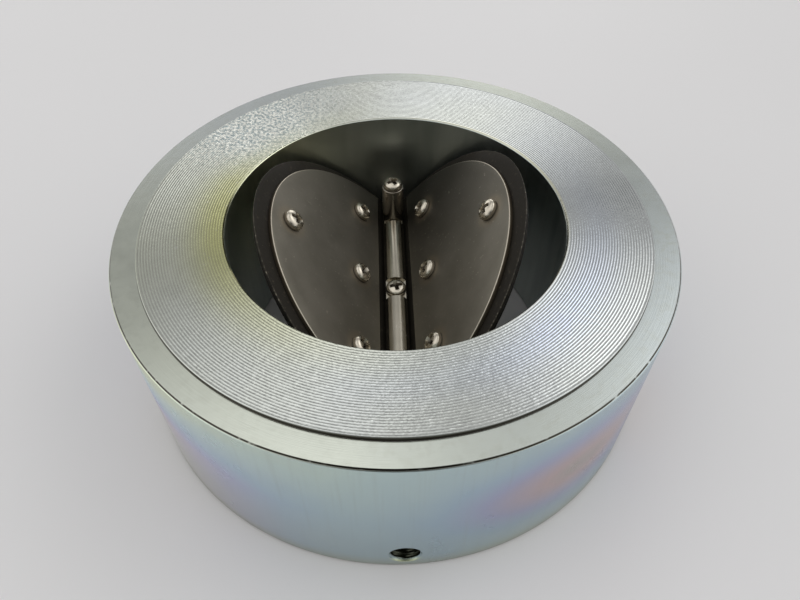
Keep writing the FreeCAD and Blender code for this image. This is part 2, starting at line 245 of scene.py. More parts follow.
def boolean(shape, tool, operation="DIFFERENCE"):
    """The first closed shape, cut by the second or cut down to what is in both."""
    work, other = [add_object(name, mesh_of(name, part, 1.0))
                   for name, part in (("work", shape), ("tool", tool))]
    cut = work.modifiers.new("cut", "BOOLEAN")
    cut.operation, cut.object, cut.solver = operation, other, "EXACT"
    return evaluated(work, other)


def bevelled(shape, width, segments, angle):
    """The shape with its edges sharper than angle degrees rounded."""
    item = add_object("work", mesh_of("work", shape, 1.0))
    edge = item.modifiers.new("edge", "BEVEL")
    edge.width, edge.segments, edge.limit_method = width, segments, "ANGLE"
    edge.angle_limit = math.radians(angle)
    return evaluated(item)


def piece(name, shape, body, material, nodes, matrix=None, sharp=32):
    """A finished object that rides on a body and stands for CAD nodes. It is shaded smooth, with
    the edges over sharp degrees kept."""
    mesh = mesh_of(name, shape)
    mesh.polygons.foreach_set("use_smooth", [True] * len(mesh.polygons))
    mesh.set_sharp_from_angle(angle=math.radians(sharp))
    mesh.materials.append(material)
    item = add_object(name, mesh)
    if matrix is not None:
        place = matrix.copy()
        place.translation *= MM
        item.matrix_world = place
    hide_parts(*nodes)
    if body:
        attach(item, body)
    return item


def mark(item, name, values):
    """Gives each point of a piece a number that its material can read."""
    layer = item.data.attributes.new(name, "FLOAT", "POINT")
    layer.data.foreach_set("value", values)


def mark_sheet(item, places, rim):
    """Tells a sheet's material where each point is in the flat sheet, and which are on its rim."""
    layer = item.data.attributes.new("sheet_place", "FLOAT_VECTOR", "POINT")
    layer.data.foreach_set("vector", [c * MM for p in places for c in p])
    mark(item, "rim", rim)


# ---- material tools ----

class Value:
    """A number that varies over a surface, worked out by shader nodes."""

    def __init__(self, net, socket):
        self.net, self.socket = net, socket

    def calc(self, kind, *others, clamp=False):
        node = self.net.tree.nodes.new("ShaderNodeMath")
        node.operation, node.use_clamp = kind, clamp
        for slot, term in enumerate((self, *others)):
            self.net.feed(node.inputs[slot], term)
        return Value(self.net, node.outputs[0])

    def __add__(self, other):
        return self.calc("ADD", other)

    def __sub__(self, other):
        return self.calc("SUBTRACT", other)

    def __rsub__(self, other):
        return self * -1 + other

    def __mul__(self, other):
        return self.calc("MULTIPLY", other)

    def clamp(self):
        return self.calc("ADD", 0.0, clamp=True)

    def bell(self, centre, width):
        """1 at centre, falling to 1/e at width on either side."""
        off = (self - centre) * (1 / width)
        return (off * off * -1).calc("EXPONENT")

    def step(self, low, high):
        """0 up to low, 1 from high, smooth between them."""
        node = self.net.tree.nodes.new("ShaderNodeMapRange")
        node.interpolation_type = "SMOOTHSTEP"
        self.net.feed(node.inputs["Value"], self)
        node.inputs["From Min"].default_value, node.inputs["From Max"].default_value = low, high
        return Value(self.net, node.outputs["Result"])


class Net:
    """A material or world node tree, and the few nodes that the finishes are made of."""

    def __init__(self, owner):
        owner.use_nodes = True
        self.tree = owner.node_tree
        self.tree.nodes.clear()

    def feed(self, target, source):
        if isinstance(source, Value):
            self.tree.links.new(source.socket, target)
        elif source is not None:
            target.default_value = source

    def new(self, kind, **settings):
        node = self.tree.nodes.new(kind)
        for name, value in settings.items():
            setattr(node, name, value)
        return node

    def coordinates(self):
        """The object's own x, y and z in millimetres, and the vector itself in metres."""
        return self.split(self.new("ShaderNodeTexCoord").outputs["Object"])

    def attribute(self, name):
        return Value(self, self.new("ShaderNodeAttribute", attribute_name=name).outputs["Fac"])

    def split(self, vector, scale=1 / MM):
        parts = self.new("ShaderNodeSeparateXYZ")
        self.tree.links.new(vector, parts.inputs[0])
        return [Value(self, parts.outputs[i]) * scale for i in range(3)] + [vector]

    def vector(self, x, y, z):
        node = self.new("ShaderNodeCombineXYZ")
        for target, value in zip(node.inputs, (x, y, z)):
            self.feed(target, value)
        return node.outputs[0]

    def noise(self, vector, scale, detail=3.0, roughness=0.5):
        node = self.new("ShaderNodeTexNoise")
        self.tree.links.new(vector, node.inputs["Vector"])
        node.inputs["Scale"].default_value = scale
        node.inputs["Detail"].default_value = detail
        node.inputs["Roughness"].default_value = roughness
        return Value(self, node.outputs["Fac"])

    def cells(self, vector, scale):
        node = self.new("ShaderNodeTexVoronoi")
        self.tree.links.new(vector, node.inputs["Vector"])
        node.inputs["Scale"].default_value = scale
        return Value(self, node.outputs["Distance"])

    def ramp(self, value, stops):
        node = self.new("ShaderNodeValToRGB")
        self.feed(node.inputs[0], value)
        elements = node.color_ramp.elements
        while len(elements) < len(stops):
            elements.new(1.0)
        for element, (place, colour) in zip(elements, stops):
            element.position, element.color = place, (*colour, 1)
        return Value(self, node.outputs[0])

    def mix(self, share, first, second):
        """The first colour, or with share at 1 the second."""
        node = self.new("ShaderNodeMix", data_type="RGBA")
        self.feed(node.inputs["Factor"], share)
        for name, colour in (("A", first), ("B", second)):
            target = next(s for s in node.inputs if s.name == name and s.type == "RGBA")
            self.feed(target, colour if isinstance(colour, Value) else (*colour, 1))
        return Value(self, next(s for s in node.outputs if s.type == "RGBA"))

    def bump(self, height, distance, strength):
        node = self.new("ShaderNodeBump")
        node.inputs["Strength"].default_value = strength
        node.inputs["Distance"].default_value = distance
        self.feed(node.inputs["Height"], height)
        return node.outputs[0]

    def surface(self, colour, roughness, metallic=1.0, normal=None, specular=0.5):
        shader = self.new("ShaderNodeBsdfPrincipled")
        self.feed(shader.inputs["Base Color"], colour)
        self.feed(shader.inputs["Roughness"], roughness)
        shader.inputs["Metallic"].default_value = metallic
        shader.inputs["Specular IOR Level"].default_value = specular
        if normal is not None:
            self.tree.links.new(normal, shader.inputs["Normal"])
        output = self.new("ShaderNodeOutputMaterial")
        self.tree.links.new(shader.outputs[0], output.inputs[0])


def new_material(name):
    material = bpy.data.materials.new(name)
    return material, Net(material)


# what the zinc's passivation film looks like from thin to thick
FILM = [
    (0.00, (0.84, 0.90, 0.58)), (0.14, (0.69, 0.84, 0.80)), (0.28, (0.55, 0.71, 0.84)),
    (0.42, (0.57, 0.60, 0.83)), (0.56, (0.68, 0.60, 0.72)), (0.72, (0.79, 0.60, 0.59)),
    (0.86, (0.64, 0.59, 0.53)), (1.00, (0.66, 0.71, 0.60)),
]
# where it is thicker on the side: heading and half width in degrees, height and half height
# in mm, and by how much
CLOUDS = [
    (-56, 20, 32, 15, 0.62), (-22, 14, 10, 12, 0.65), (40, 34, 20, 20, 0.42),
    (96, 28, 40, 18, 0.34), (150, 26, 16, 18, 0.30),
]


def make_zinc():
    """Turned steel, zinc plated: silver on top, with iridescent bands round the side."""
    material, net = new_material("zinc_plated")
    x, y, z, vector = net.coordinates()
    radius = (x * x + y * y).calc("SQRT")
    blot = net.noise(vector, 22.0, 2.0)
    fine = net.noise(vector, 160.0, 3.0)
    patchy = net.noise(vector, 300.0, 3.0)
    mottle = net.noise(vector, 420.0, 3.0)
    is_bore = 1.0 - radius.step(BORE_RADIUS + 0.05, BORE_RADIUS + 0.20)
    past_face = radius.step(FACE_RADIUS - 0.3, FACE_RADIUS - 0.1)

    def towards(heading, half_width):
        """1 at heading, falling to 1/e at half_width degrees from it."""
        a = math.radians(heading)
        cosine = (x * math.cos(a) + y * math.sin(a)).calc("DIVIDE", radius)
        return ((cosine - 1) * (1 / (1 - math.cos(math.radians(half_width))))).calc("EXPONENT")

    # side: the film has clouds, and at the front left it thickens all the way down
    left = towards(-150, 36)
    thicken_from, thicken_over = 56.0, 26.0
    down = ((thicken_from - z) * (1 / thicken_over)).clamp().calc("POWER", 1.2) * 0.56
    film = left * (down - 0.18) + 0.18
    for heading, half_width, height, tall, more in CLOUDS:
        film = film + towards(heading, half_width) * z.bell(height, tall) * more
    film = film + (blot - 0.5) * 0.16 + (fine - 0.5) * 0.03
    side = net.ramp(film, FILM)
    side = net.mix((left * (1.0 - z.step(12, 36)) * 0.85).clamp(), side, (0.60, 0.61, 0.56))
    # painted shade: the side darkens towards the bottom and away from the front left
    painted_shade = 0.40 - left * 0.34 - z * (0.16 / RING_HEIGHT)
    side = net.mix(painted_shade.clamp(), side, (0.0, 0.01, 0.02))
    streak = net.noise(net.vector(x * 0.9, y * 0.9, z * 0.03), 1.0, 3.0)
    side = net.mix(streak.step(0.50, 0.75) * 0.12, side, (0.34, 0.33, 0.30))
    side = net.mix((1.0 - z.step(0.0, 7.0)) * 0.6, side, (0.42, 0.43, 0.34))
    # painted shade: a dark line along the ring's foot, where it meets the floor
    side = net.mix((1.0 - z.step(0.55, 0.9)) * 0.75, side, (0.10, 0.10, 0.06))
    # top: yellow-green by the bore at the left, bluer towards the front right
    top = net.mix((blot - 0.2).clamp(), (0.70, 0.73, 0.73), (0.69, 0.71, 0.68))
    blue = towards(-45, 48) * radius.bell(62, 7) * 0.7
    top = net.mix(blue.clamp(), top, (0.67, 0.73, 0.86))
    yellow = towards(182, 62) * (radius.bell(54.5, 9) * 0.75 + 0.24) + (blot - 0.5) * 0.3
    top = net.mix(yellow.clamp(), top, (0.68, 0.68, 0.34))
    top = net.mix(mottle.step(0.62, 0.80) * 0.35, top, (0.84, 0.85, 0.82))
    # a patch at the rear left where the tool tore the surface: rougher relief, and painted glints
    # as bright flecks
    torn = (towards(134, 22) * 1.5 + (blot - 0.5) * 0.5 - 0.25).clamp()
    flakes = net.noise(vector, 900.0, 3.0, 0.7).step(0.42, 0.56)
    painted_glints = net.mix(flakes, (0.40, 0.48, 0.49), (1.0, 1.0, 0.93))
    top = net.mix(torn * (1.0 - radius.bell(53, 6) * 0.5) * 0.9, top, painted_glints)
    lip = radius.bell(53.1, 0.5) * towards(20, 60)
    top = net.mix((lip * 0.5).clamp(), top, (0.66, 0.61, 0.32))
    rim = net.mix((towards(-20, 60) + (blot - 0.5) * 0.5).clamp(), (0.70, 0.73, 0.63),
                  (0.62, 0.67, 0.67))
    rim = net.mix(towards(125, 40) * 0.9, rim, (0.62, 0.66, 0.67))
    rim = net.mix(mottle.step(0.45, 0.75) * 0.25, rim, (0.56, 0.58, 0.50))
    top = net.mix(radius.step(FACE_RADIUS - 0.1, FACE_RADIUS + 0.2), top, rim)
    # thin dark lines of painted shade in the grooves and at the foot of the step, and a painted
    # dark reflection on the outer chamfer
    phase = ((radius - GROOVE_START) * (1 / GROOVE_PITCH)).calc("FRACT")
    groove_shade = phase.bell(0.5, 0.22) * (1.0 - torn) * z.step(RING_HEIGHT - 0.5, RING_HEIGHT - 0.3)
    groove_shade = groove_shade * (1.0 - past_face)
    coarse = (towards(-98, 40) * 0.7 + towards(135, 30) + (blot - 0.5) * 0.8).clamp()
    top = net.mix(groove_shade * (patchy * 0.8 + 0.1) * (coarse * 0.5 + 0.35), top, (0.16, 0.16, 0.15))
    step_foot_shade = radius.bell(FACE_RADIUS + 0.02, 0.20)
    step_foot_shade = step_foot_shade * (1.0 - z.step(RING_HEIGHT - 0.25, RING_HEIGHT - 0.10))
    # painted dark reflection along the outer chamfer, in patches
    edge = radius.step(RING_RADIUS - 0.65, RING_RADIUS - 0.50)
    edge = edge * z.step(SHOULDER - 0.45, SHOULDER - 0.30) * (patchy.step(0.30, 0.42) * 0.7 + 0.3)
    outside = net.mix(z.step(SHOULDER - 0.6, SHOULDER - 0.4), side, top)
    outside = net.mix((step_foot_shade * 1.2 + edge).clamp(), outside, (0.05, 0.045, 0.035))
    # bore: streaked downwards, with a painted patch of light, pale greenish yellow, at the rear
    # left
    runs = net.noise(net.vector(x * 0.12, y * 0.12, z * 0.02), 1.0, 2.0)
    bore = net.mix(runs.step(0.35, 0.65), (0.42, 0.47, 0.45), (0.54, 0.59, 0.56))
    painted_bore_light = towards(152, 32) * z.step(5, 55) * 1.1
    bore = net.mix(painted_bore_light.clamp(), bore, (0.86, 0.88, 0.62))
    colour = net.mix(is_bore, outside, bore)
    # the tapped side holes: painted shade inside, with a bright chip at the lower lip
    rise = z - SIDE_HOLE_HEIGHT
    off_hole = (x * x + rise * rise).calc("SQRT")
    hole_shade = 1.0 - off_hole.step(SIDE_HOLE_RADIUS + 0.40, SIDE_HOLE_RADIUS + 0.55)
    hole_shade = hole_shade * (1.0 - radius.step(RING_RADIUS - 0.8, RING_RADIUS - 0.3))
    hole_shade = hole_shade * radius.step(BORE_RADIUS + 0.25, BORE_RADIUS + 0.65)
    colour = net.mix(hole_shade, colour, (0.07, 0.075, 0.055))
    chip = off_hole.bell(SIDE_HOLE_RADIUS + 0.5, 0.4) * (1.0 - rise.step(-4.5, -1.5))
    chip = chip * radius.step(RING_RADIUS - 1.3, RING_RADIUS - 0.8)
    colour = net.mix((chip * patchy * 1.6).clamp(), colour, (0.68, 0.74, 0.44))
    satin = (1.0 - z.step(SHOULDER - 0.5, SHOULDER - 0.1)) * (1.0 - is_bore)
    rough = fine * 0.10 + blot * 0.08 + satin * 0.06 + is_bore * 0.14 + 0.10
    # chatter marks across the turned grooves, fine turning lines elsewhere
    around = net.new("ShaderNodeVectorMath", operation="NORMALIZE")
    net.tree.links.new(net.vector(x, y, 0.0), around.inputs[0])
    turn_x, turn_y = net.split(around.outputs[0], 1.0)[:2]
    chatter = net.noise(net.vector(turn_x * 70, turn_y * 70, radius * 1.6), 1.0, 2.0)
    lines = net.noise(net.vector(turn_x * 6, turn_y * 6, radius * 5 + z * 5), 1.0, 2.0)
    grooved = z.step(RING_HEIGHT - 0.6, RING_HEIGHT - 0.4) * (1.0 - past_face)
    grooved = grooved * radius.step(BORE_RADIUS + 0.15, BORE_RADIUS + 0.45)
    relief = chatter * grooved * (coarse * 0.85 + torn * 1.4 + 0.25)
    relief = relief + lines * (1.0 - grooved) * 0.12 + mottle * 0.06
    net.surface(colour, rough, normal=net.bump(relief, 0.00016, 0.8))
    return material


def make_plate_steel(side, rear, painted_shade):
    """Dull cold rolled stainless sheet, a little stained round its screws, with a painted highlight
    along its upper edge. It is darker towards the rear by painted shade, as much as its third
    argument gives. rear is 1 where the rear is the plate's own +Y, and -1 where it is its -Y."""
    material, net = new_material(f"stainless_painted_shade_{side}")
    x, y, z, vector = net.coordinates()
    blot = net.noise(vector, 60.0, 4.0, 0.6)
    grain = net.noise(net.vector(x * 0.25, y * 6.0, z), 1.0, 3.0)
    speck = net.noise(vector, 900.0, 2.0)
    halo = 0.0
    for sx, sy in SCREWS:
        away = ((x - sx) * (x - sx) + (y - sy) * (y - sy)).calc("SQRT")
        halo = away.bell(HEAD_RADIUS + 0.7, 1.6) + halo
    base = net.mix(blot.step(0.35, 0.7), (0.205, 0.190, 0.155), (0.250, 0.232, 0.193))
    # painted shade: darker towards the rear
    base = net.mix((y * rear).step(-25, 40) * painted_shade, base, (0.05, 0.047, 0.04))
    base = net.mix((halo * 0.45).clamp(), base, (0.30, 0.25, 0.18))
    base = net.mix(speck.step(0.66, 0.80) * 0.5, base, (0.50, 0.46, 0.38))
    edge = net.attribute("rim")
    # painted highlight: a bright line along the plate's upper edge
    corner = edge * z.step(PLATE_TOP - 0.35, PLATE_TOP - 0.15)
    base = net.mix(edge * 0.8, base, (0.11, 0.085, 0.055))
    base = net.mix(corner, base, (0.62, 0.57, 0.47))
    rough = blot * 0.10 + grain * 0.06 + 0.46
    relief = grain * 0.5 + speck * 0.5
    net.surface(base, rough, normal=net.bump(relief, 0.00004, 0.6))
    return material


def make_bright(name, base, dark, rough, along="Y"):
    """Bright drawn or plated steel with fine marks along one axis and duller blots. Painted shade
    makes a piece dark brown where its points are marked, as in a screw's recess and under its rim."""
    material, net = new_material(name)
    x, y, z, vector = net.coordinates()
    stretch = {"Y": (5.0, 0.2, 5.0), "Z": (5.0, 5.0, 0.2)}[along]
    marks = net.noise(net.vector(x * stretch[0], y * stretch[1], z * stretch[2]), 1.0, 3.0)
    blot = net.noise(vector, 180.0, 3.0)
    colour = net.mix((blot * 0.7 + marks * 0.5 - 0.1).clamp(), dark, base)
    # painted shade in the screws' recesses and under their heads
    recess_shade = net.attribute("recess_shade")
    colour = net.mix(recess_shade, colour, (0.035, 0.027, 0.018))
    roughness = marks * 0.10 + blot * 0.10 + recess_shade * 0.4 + (rough - 0.1)
    net.surface(colour, roughness, normal=net.bump(marks, 0.00002, 0.4))
    return material


def make_rubber():
    """Dark fabric insertion rubber: matt faces, a cut rim, and dotted thread ends at its edge."""
    material, net = new_material("insertion_rubber")
    place = net.new("ShaderNodeAttribute", attribute_name="sheet_place")
    x, y, z, vector = net.split(place.outputs["Vector"])
    rim = net.attribute("rim")
    weave = net.cells(vector, 900.0)
    blot = net.noise(vector, 70.0, 3.0)
    fine = net.noise(vector, 700.0, 3.0)
    drawn = net.noise(net.vector(x, y, z * 0.25), 0.7, 3.0)
    face = net.mix(blot, (0.012, 0.010, 0.007), (0.020, 0.017, 0.012))
    face = net.mix(fine.step(0.60, 0.75) * 0.5, face, (0.075, 0.062, 0.042))
    cut = net.mix(drawn.step(0.35, 0.75), (0.010, 0.009, 0.007), (0.024, 0.020, 0.015))
    colour = net.mix(rim, face, cut)
    ends = 1.0 - net.cells(net.vector(x, y, 0.0), 1.1).step(0.15, 0.5)
    threads = z.bell(RUBBER_TOP - 0.2, 0.25) * (ends * 0.8 + 0.2)
    colour = net.mix((threads * rim * (fine.step(0.35, 0.65) + 0.2)).clamp(), colour,
                     (0.30, 0.27, 0.21))
    relief = weave * 0.5 + fine * 0.6
    net.surface(colour, blot * 0.15 + 0.60, 0.0, net.bump(relief, 0.00008, 0.6), 0.18)
    return material


zinc = make_zinc()
# the right plate gets much more painted shade at its rear than the left
plate_steel = {"left": make_plate_steel("left", -1, 0.15),
               "right": make_plate_steel("right", 1, 0.75)}
rod_steel = make_bright("bright_drawn", (0.58, 0.54, 0.45), (0.42, 0.39, 0.32), 0.24)
sleeve_steel = make_bright("nickel_tube", (0.46, 0.42, 0.36), (0.30, 0.27, 0.23), 0.24, "Z")
screw_steel = make_bright("nickel_plate", (0.74, 0.69, 0.59), (0.50, 0.45, 0.36), 0.24, "Z")
bar_steel = make_bright("zinc_bar", (0.55, 0.57, 0.53), (0.40, 0.42, 0.39), 0.34)
rubber = make_rubber()


# ---- ring ----

def make_ring():
    outer, chamfer = RING_RADIUS, RING_CHAMFER
    face_in, face_out = BORE_RADIUS + BORE_CHAMFER, FACE_RADIUS - FACE_CHAMFER
    wall_low, wall_high = RING_HEIGHT / 3, RING_HEIGHT * 2 / 3
    profile = [
        (face_in, 0), (outer - chamfer, 0), (outer, chamfer), (outer, wall_low),
        (outer, wall_high), (outer, SHOULDER - chamfer), (outer - chamfer, SHOULDER),
        (FACE_RADIUS + FACE_CHAMFER, SHOULDER), (FACE_RADIUS, SHOULDER + FACE_CHAMFER),
        (FACE_RADIUS, RING_HEIGHT - FACE_CHAMFER), (face_out, RING_HEIGHT),
        (face_in, RING_HEIGHT), (BORE_RADIUS, RING_HEIGHT - BORE_CHAMFER),
        (BORE_RADIUS, wall_high), (BORE_RADIUS, wall_low), (BORE_RADIUS, BORE_CHAMFER),
    ]
    body = lathe(profile, RING_SEGMENTS)
    # the tapped side holes: a thread right through the wall, and a countersunk mouth
    hole_segments, past = 48, 2
    tapping = thread(SIDE_HOLE_RADIUS + SIDE_THREAD_OUT, SIDE_THREAD_DEPTH, SIDE_THREAD_PITCH,
                     BORE_RADIUS - past, outer + past, hole_segments, 6, 0.01)
    mouth_low, mouth_high, mouth_radius = outer - 0.5, outer + 0.6, SIDE_HOLE_RADIUS + 0.9
    mouth = lathe([(0, mouth_low), (SIDE_HOLE_RADIUS, mouth_low), (mouth_radius, mouth_high),
                   (0, mouth_high)], hole_segments, False)
    for heading in (0, 180):
        lay = (Matrix.Rotation(math.radians(heading), 4, "Z")
               @ Matrix.Translation((0, 0, SIDE_HOLE_HEIGHT)) @ LAID_ALONG_Y)
        for tool in (tapping, mouth):
            body = boolean(body, moved(tool, lay))
    # the flat raised face gives way to one with turned grooves
    points, faces = body
    level, margin = RING_HEIGHT - 0.001, 0.1
    on_face = [p.z > level and face_in - margin < p.xy.length < face_out + margin for p in points]
    kept = [face for face in faces if not all(on_face[i] for i in face)]
    return joined((points, kept), grooved_face(face_in, face_out))


def grooved_face(inner, outer):
    """Round-bottomed grooves of one pitch from the bore out to the edge of the raised face."""
    pitch, steps, plain_rim = GROOVE_PITCH, 6, 0.3
    count = int((outer - inner - plain_rim) / pitch)
    first = GROOVE_START - count * pitch
    profile = [(inner, RING_HEIGHT)]
    for groove in range(count):
        for step in range(steps):
            off = (step / steps - 0.5) * pitch
            depth = (pitch * pitch / 4 - off * off) / (2 * GROOVE_NOSE)
            profile.append((first + (groove + 0.5) * pitch + off, RING_HEIGHT - depth))
    profile += [(first + count * pitch, RING_HEIGHT), (outer, RING_HEIGHT)]
    points, faces = lathe(profile, RING_SEGMENTS, closed=False)
    return points, [face[::-1] for face in faces]


piece("valve_ring", make_ring(), "body", zinc, ["valve_body"], sharp=20)


# ---- rod, crossbar and stop sleeve ----

def make_rod():
    """The rod along Y, with a milled flat and a hole for each of its three screws."""
    edge, end = ROD_RADIUS - ROD_CHAMFER, ROD_HALF - ROD_CHAMFER
    rod = moved(lathe([(0, -ROD_HALF), (edge, -ROD_HALF), (ROD_RADIUS, -end), (ROD_RADIUS, end),
                       (edge, ROD_HALF), (0, ROD_HALF)], 72, False), LAID_ALONG_Y)
    clear = 6
    for y in (-SCREW_SPACING, 0, SCREW_SPACING):
        flat = rectangle(-clear, y - FLAT_HALF, clear, y + FLAT_HALF)
        rod = boolean(rod, prism(flat, ROD_RADIUS - FLAT_DEPTH, ROD_RADIUS + 4))
        hole = prism(circle(ROD_HOLE_RADIUS, 32), -clear, clear)
        rod = boolean(rod, moved(hole, at(0, y, 0)))
    return bevelled(rod, 0.12, 2, 35)


piece("clamp_rod_bar", make_rod(), "body", rod_steel, ["clamp_rod"],
      at(0, 0, ROD_HEIGHT))


def make_crossbar():
    outline = rectangle(-bar_high.x, bar_low.y, bar_high.x, bar_high.y)
    return bevelled(prism(outline, bar_low.z, bar_high.z), 0.5, 3, 30)


piece("crossbar_bar", make_crossbar(), "body", bar_steel, ["crossbar"])


def make_sleeve():
    height = sleeve_high.z - sleeve_low.z
    outer, bore, edge, middle, bore_edge = 4.0, 2.25, 0.25, 0.07, 0.2
    return lathe([(bore, 0), (outer - edge, 0), (outer, edge), (outer, height / 2),
                  (outer, height - edge), (outer - middle, height - middle),
                  (outer - edge, height), (bore + bore_edge, height),
                  (bore, height - bore_edge)], 64)


piece("rear_sleeve", make_sleeve(), "body", sleeve_steel, ["rear_stop_sleeve"],
      at(0, SCREW_SPACING, FLAT_LEVEL))


# ---- fasteners ----

def cross_outline(reach, width):
    """A cross recess seen from above, with small fillets in its inner corners."""
    half, fillet, corner = width / 2, 0.25, 0.06
    quarter = [(reach, half), (half + fillet, half), (half + corner, half + corner),
               (half, half + fillet), (half, reach)]
    outline = []
    for turn in range(4):
        c, s = round(math.cos(turn * math.pi / 2)), round(math.sin(turn * math.pi / 2))
        outline += [(c * x - s * y, s * x + c * y) for x, y in quarter]
    return outline


def dome(angle):
    """A point (radius, height) on a pan head's dome, from its rim at 0 to its top at 90 deg."""
    rise = (HEAD_HEIGHT - HEAD_RIM) * math.sin(angle) ** 0.95
    return HEAD_RADIUS * math.cos(angle) ** HEAD_FULLNESS, HEAD_RIM + rise


def shade_on(points, seats):
    """How much painted shade each point of the screws gets: in its recess, and under the head's
    rim.
    """
    rim_width, recess_depth, rim_height, rim_shade = 0.3, 0.25, 0.3, 0.85
    recess_shade = []
    for p in points:
        r, height = min((math.hypot(p.x - x, p.y - y), p.z - z) for x, y, z in seats)
        if r < HEAD_RADIUS - rim_width:
            surface = dome(math.acos((r / HEAD_RADIUS) ** (1 / HEAD_FULLNESS)))[1]
            recess_shade.append(1.0 if height < surface - recess_depth else 0.0)
        else:
            recess_shade.append(rim_shade if height < rim_height else 0.0)
    return recess_shade


def pan_head():
    """M4 pan head with a cross recess, seated at height 0."""
    edge, steps = 0.1, 12
    profile = [(0, 0), (HEAD_RADIUS - edge, 0), (HEAD_RADIUS, edge), (HEAD_RADIUS, HEAD_RIM)]
    profile += [dome(step / steps * math.pi / 2) for step in range(1, steps)]
    head = lathe(profile + [(0, HEAD_HEIGHT)], 48, closed=False)
    recess = tapered(cross_outline(1.1, 0.8), HEAD_HEIGHT - 1.9,
                     cross_outline(2.7, 1.6), HEAD_HEIGHT + 0.5)
    return boolean(head, recess)


def screw(length, turn):
    """A screw seated at height 0, its shank downwards and sunk a little into the head."""
    sunk = 0.3
    shank = thread(SCREW_RADIUS, SCREW_THREAD_DEPTH, SCREW_PITCH, -length, sunk, 20, 5, 0.5)
    return moved(joined(head_shape, shank), at(0, 0, 0, turn))


def nut():
    """Hexagon nut with both faces chamfered, and a plain bore with countersunk ends."""
    height, corner, edge = NUT_HEIGHT, NUT_WIDTH / math.sqrt(3), NUT_WIDTH / 2 - 0.15
    chamfer, bore, sink, wide, past = 0.33, 1.72, 0.4, 3.05, 1
    drum = lathe([(0, 0), (edge, 0), (corner, chamfer), (corner, height - chamfer),
                  (edge, height), (0, height)], 48, False)
    solid = boolean(prism(circle(corner, 6), 0, height), drum, "INTERSECT")
    tool = lathe([(0, -past), (wide, -past), (bore, sink), (bore, height - sink),
                  (wide, height + past), (0, height + past)], 32, False)
    return boolean(solid, tool)


def lock_washer():
    """Split spring washer, all but flattened, with a narrow gap."""
    height, edge, keystone, rise, steps = WASHER_HEIGHT, 0.1, 0.06, 0.10, 48
    section = [(WASHER_INNER, keystone), (WASHER_OUTER - edge, 0.0), (WASHER_OUTER, edge),
               (WASHER_OUTER, height - edge), (WASHER_OUTER - edge, height),
               (WASHER_INNER, height - keystone)]
    n = len(section)
    points = []
    for step in range(steps + 1):
        a = math.radians(WASHER_GAP / 2 + (360 - WASHER_GAP) * step / steps)
        lift = rise * (step / steps - 0.5)
        points += [(r * math.cos(a), r * math.sin(a), z + lift) for r, z in section]
    faces = [[row + k, row + (k + 1) % n, row + n + (k + 1) % n, row + n + k]
             for row in range(0, steps * n, n) for k in range(n)]
    return points, faces + [list(range(n))[::-1], list(range(steps * n, steps * n + n))]


head_shape, nut_shape, washer_shape = pan_head(), nut(), lock_washer()

for end, y, seat, length, node in (
        ("rear", SCREW_SPACING, sleeve_high.z, SLEEVE_SCREW_LENGTH, "rear_stop_screw"),
        ("centre", 0, FLAT_LEVEL, ROD_SCREW_LENGTH, "centre_clamp_screw"),
        ("front", -SCREW_SPACING, FLAT_LEVEL, ROD_SCREW_LENGTH, "front_clamp_screw")):
    shape = screw(length, SCREW_TURNS[end])
    item = piece(f"{end}_pan_screw", shape, "body", screw_steel, [node],
                 at(0, y, seat))
    mark(item, "recess_shade", shade_on(shape[0], [(0, 0, 0)]))


# ---- flaps ----

def ellipse_rows(centre, major, minor, start, half_width, steps):
    """Half outline of a sheet, (x, half width) from its straight edge to its tip, which a short
    straight end blunts."""
    first, last = math.asin((start - centre) / major), math.pi / 2 - 0.012
    rows = []
    for step in range(steps + 1):
        t = first + (last - first) * step / steps
        rows.append((centre + major * math.sin(t), min(half_width, minor * math.cos(t))))
    return rows


def sheet(rows, rim, bend=None, slant=0.0):
    """A sheet over a symmetric outline. rim is its edge's section: pairs (inset, z). With slant,
    the edge runs in towards the hinge as it goes down. Returns the shape, bent if there is a bend,
    each point's place in the flat sheet, and which points are on the rim."""
    columns, slant_from = 9, 12
    n = len(rows)
    normals = []
    for i in range(n):
        a, b = rows[max(0, i - 1)], rows[min(n - 1, i + 1)]
        d = Vector((b[1] - a[1], -(b[0] - a[0])))
        normals.append(-d.normalized() if d.length > 1e-9 else Vector((0, 1)))
    points, marks, loops = [], [], []
    for level, (inset, z) in enumerate(rim):
        loop = []
        for i, (x, w) in enumerate(rows):
            out = normals[i]
            px, py = x - out.x * inset, max(0.0, w - out.y * inset)
            px += (z - rim[0][1]) * slant * min(1.0, max(0.0, x / slant_from))
            if i == 0:
                px, py = x + inset, w - inset
            loop.append((px, py))
        full = loop + [(px, -py) for px, py in reversed(loop)]
        loops.append(list(range(len(points), len(points) + len(full))))
        points += [(px, py, z) for px, py in full]
        marks += [0.0 if level in (0, len(rim) - 1) else 1.0] * len(full)
    faces = []
    count = 2 * n
    for low, high in zip(loops, loops[1:]):
        for i in range(count):
            j = (i + 1) % count
            faces.append([low[i], low[j], high[j], high[i]])
    for loop, flip in ((loops[0], True), (loops[-1], False)):
        grid = []
        for i in range(n):
            left, right = loop[i], loop[count - 1 - i]
            row = [left]
            a, b = Vector(points[left]), Vector(points[right])
            for column in range(1, columns):
                row.append(len(points))
                points.append(tuple(a.lerp(b, column / columns)))
                marks.append(0.0)
            grid.append(row + [right])
        for i in range(n - 1):
            for column in range(columns):
                face = [grid[i][column], grid[i + 1][column], grid[i + 1][column + 1],
                        grid[i][column + 1]]
                faces.append(face[::-1] if flip else face)
    places = [Vector(p) for p in points]
    return ([bend(p) for p in places] if bend else places, faces), places, marks


